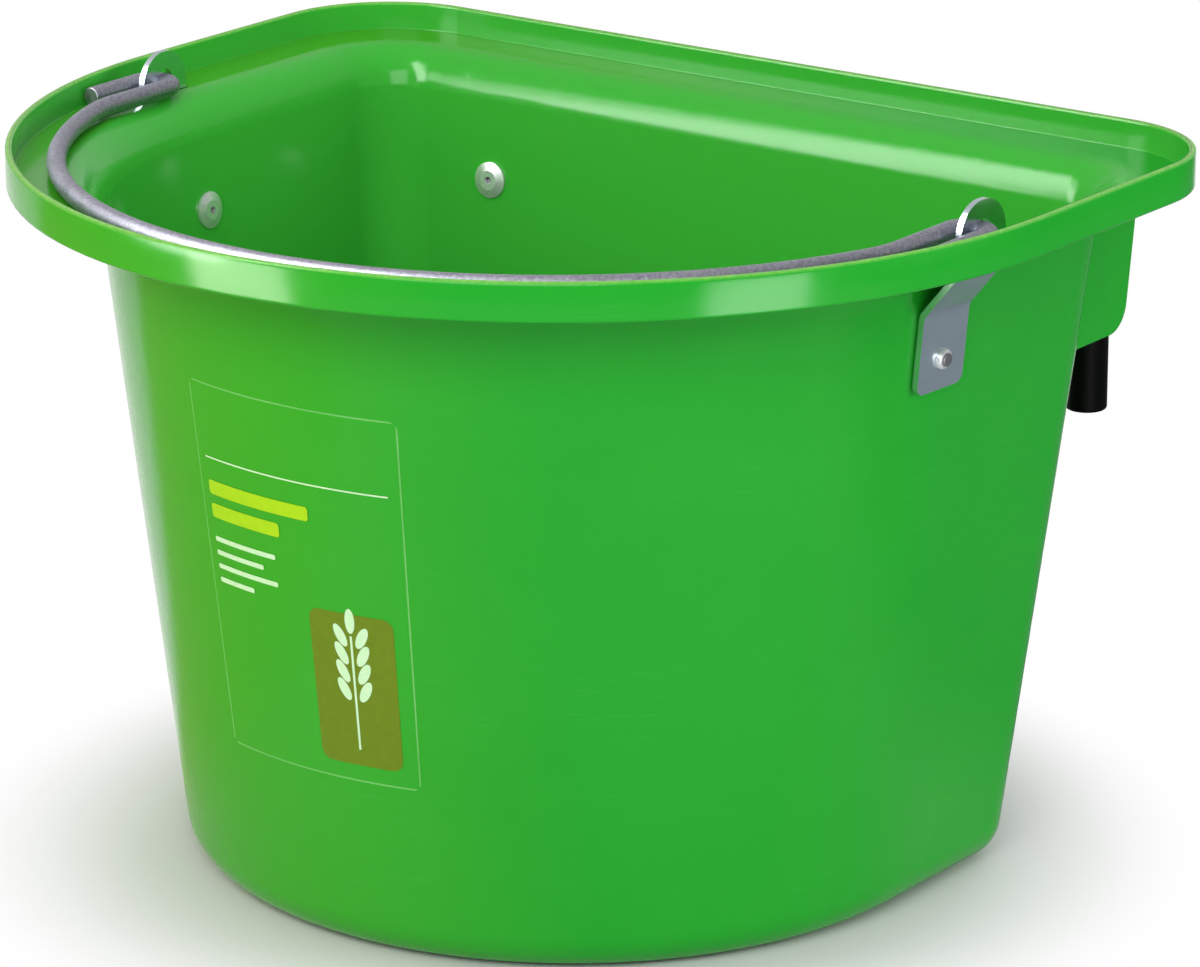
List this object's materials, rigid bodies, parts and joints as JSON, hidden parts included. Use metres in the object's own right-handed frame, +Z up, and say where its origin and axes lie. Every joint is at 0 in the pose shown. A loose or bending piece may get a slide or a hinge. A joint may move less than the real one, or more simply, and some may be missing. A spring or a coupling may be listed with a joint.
{
  "type": "feed manger",
  "caption": "D-shaped hook-on stable feed bucket with a flat back, an outturned rim, a folding wire bail on riveted ears and sleeved hanging hooks behind.",
  "frame": {"origin": "on the floor of the bucket's underside, below the centre of the round front", "axes": "+X along the flat back, the round front faces -Y and the hooks +Y, +Z up from the underside to the rim"},
  "size_m": [0.39, 0.3721, 0.2656],
  "materials": {
    "green_plastic": "glossy injection-moulded polypropylene",
    "galvanised_wire": "drawn and galvanised wire",
    "zinc_plated_strap": "punched strip, bright zinc plated",
    "zinc_plated_rod": "bent rod, bright zinc plated",
    "black_sleeve": "extruded soft vinyl",
    "rivet_aluminium": "satin",
    "mandrel_steel": "broken steel stem"
  },
  "bodies": {
    "bucket": {"bucket_shell": "green_plastic", "right_handle_ear": "zinc_plated_strap", "left_handle_ear": "zinc_plated_strap", "right_hook_rod": "zinc_plated_rod", "left_hook_rod": "zinc_plated_rod", "right_hook_sleeve": "black_sleeve", "left_hook_sleeve": "black_sleeve", "right_ear_rivet": "rivet_aluminium", "left_ear_rivet": "rivet_aluminium", "right_hook_rivet": "rivet_aluminium", "left_hook_rivet": "rivet_aluminium", "right_ear_mandrel": "mandrel_steel", "left_ear_mandrel": "mandrel_steel", "right_hook_mandrel": "mandrel_steel", "left_hook_mandrel": "mandrel_steel"},
    "handle": {"bail_handle": "galvanised_wire"}
  },
  "joints": [
    {"name": "handle_swing", "type": "hinge", "parent": "bucket", "child": "handle", "pos_m": [0, -0.0105, 0.2545], "axis": [-1, 0, -0.0023], "range_deg": [0, 176]}
  ]
}
